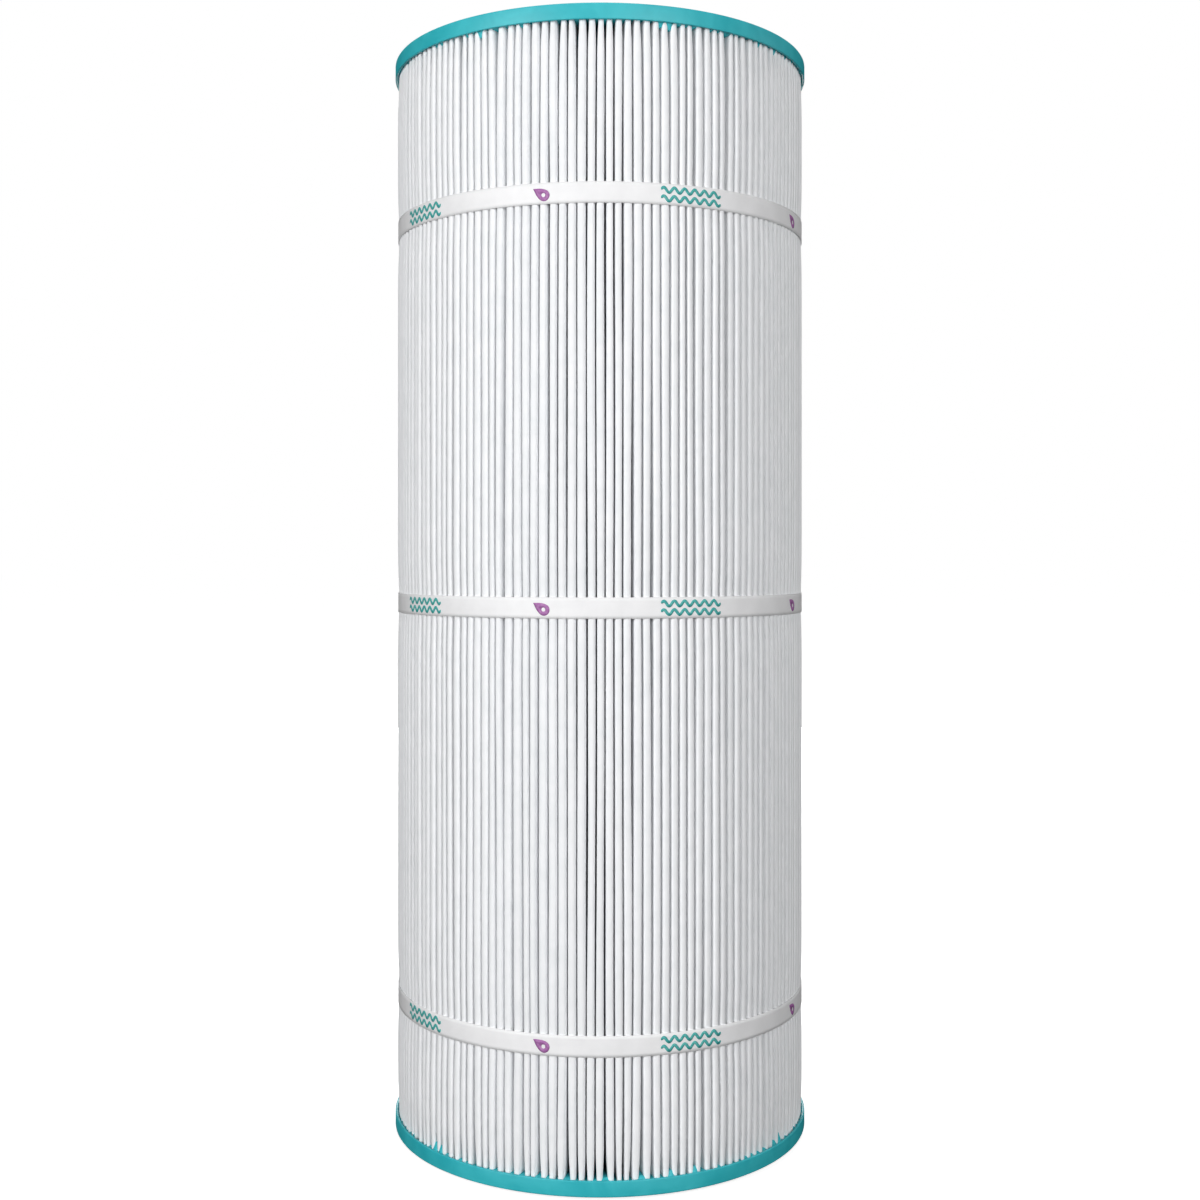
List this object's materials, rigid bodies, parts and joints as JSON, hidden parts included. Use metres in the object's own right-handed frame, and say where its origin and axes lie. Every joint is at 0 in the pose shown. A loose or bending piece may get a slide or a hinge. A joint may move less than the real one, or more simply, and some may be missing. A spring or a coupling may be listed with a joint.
{
  "type": "pleated filter cartridge",
  "caption": "Tall round pleated polyester filter cartridge with an open bore, teal end caps, a slotted core and three straps round its pleats.",
  "frame": {"origin": "where the cartridge's axis meets the plane that the bottom cap's sealing bead stands on", "axes": "+Z along the axis, towards the top end cap; +Y towards the media's seam and the straps' laps, at the back"},
  "size_m": [0.227, 0.227, 0.587],
  "materials": {
    "end_cap_polyurethane": "cast polyurethane, satin",
    "core_plastic": "moulded ABS, matte",
    "filter_media": "spunbonded polyester, matte",
    "strap_fabric": "smooth white polyester strap, printed",
    "hot_melt_glue": "hot-melt glue, glossy"
  },
  "bodies": {
    "root": {"bottom_end_cap": "end_cap_polyurethane", "top_end_cap": "end_cap_polyurethane", "core_section_1": "core_plastic", "core_section_2": "core_plastic", "core_section_3": "core_plastic", "core_section_4": "core_plastic", "pleated_media": "filter_media", "media_seam": "hot_melt_glue", "lower_strap": "strap_fabric", "lower_strap_glue": "hot_melt_glue", "middle_strap": "strap_fabric", "middle_strap_glue": "hot_melt_glue", "upper_strap": "strap_fabric", "upper_strap_glue": "hot_melt_glue"}
  },
  "joints": []
}
